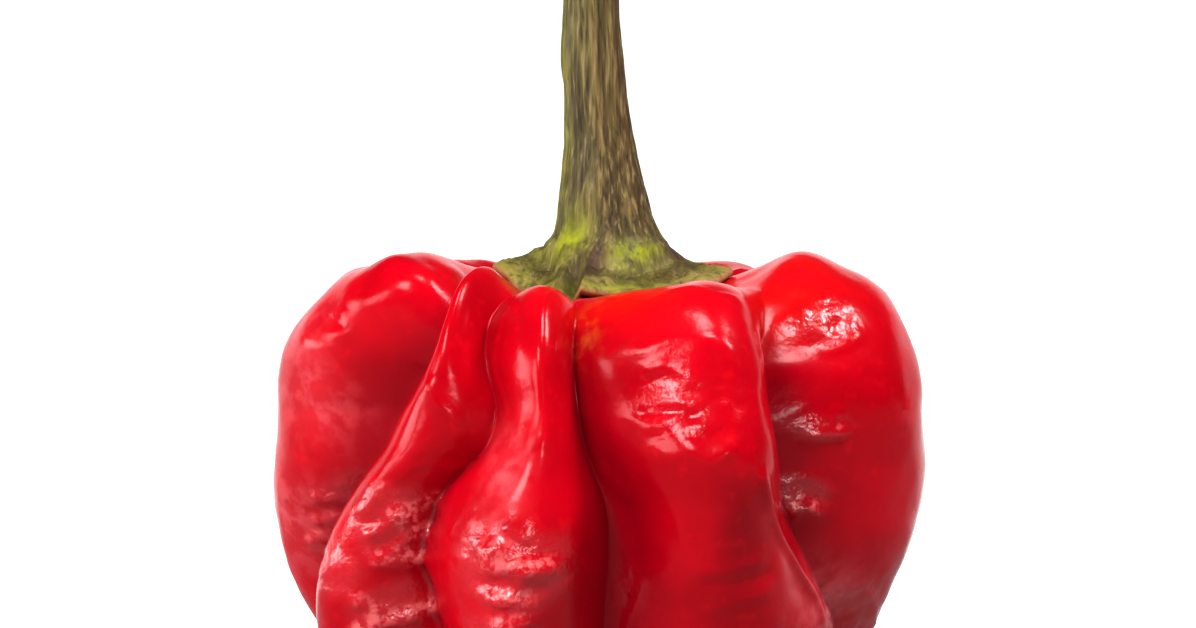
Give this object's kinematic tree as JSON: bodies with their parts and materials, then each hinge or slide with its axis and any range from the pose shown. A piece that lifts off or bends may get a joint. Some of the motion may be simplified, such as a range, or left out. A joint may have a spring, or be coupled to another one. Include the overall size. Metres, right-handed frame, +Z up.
{
  "type": "ajicito pepper",
  "caption": "Wrinkled red pepper pod with deep folds between its lobes, standing on its blossom end, with a green-brown calyx and a tapering stem.",
  "frame": {"origin": "on the surface that the pod stands on, under the middle of the whole pepper's bounding box", "axes": "+Z up through the stem, -Y towards the viewer of the picture, +X to that viewer's right"},
  "size_m": [0.0402, 0.0408, 0.062],
  "materials": {
    "pod_skin": "glossy waxy red skin",
    "stem_skin": "dull green-brown woody stalk"
  },
  "bodies": {
    "root": {"pod": "pod_skin", "stem_with_calyx": "stem_skin"}
  },
  "joints": []
}
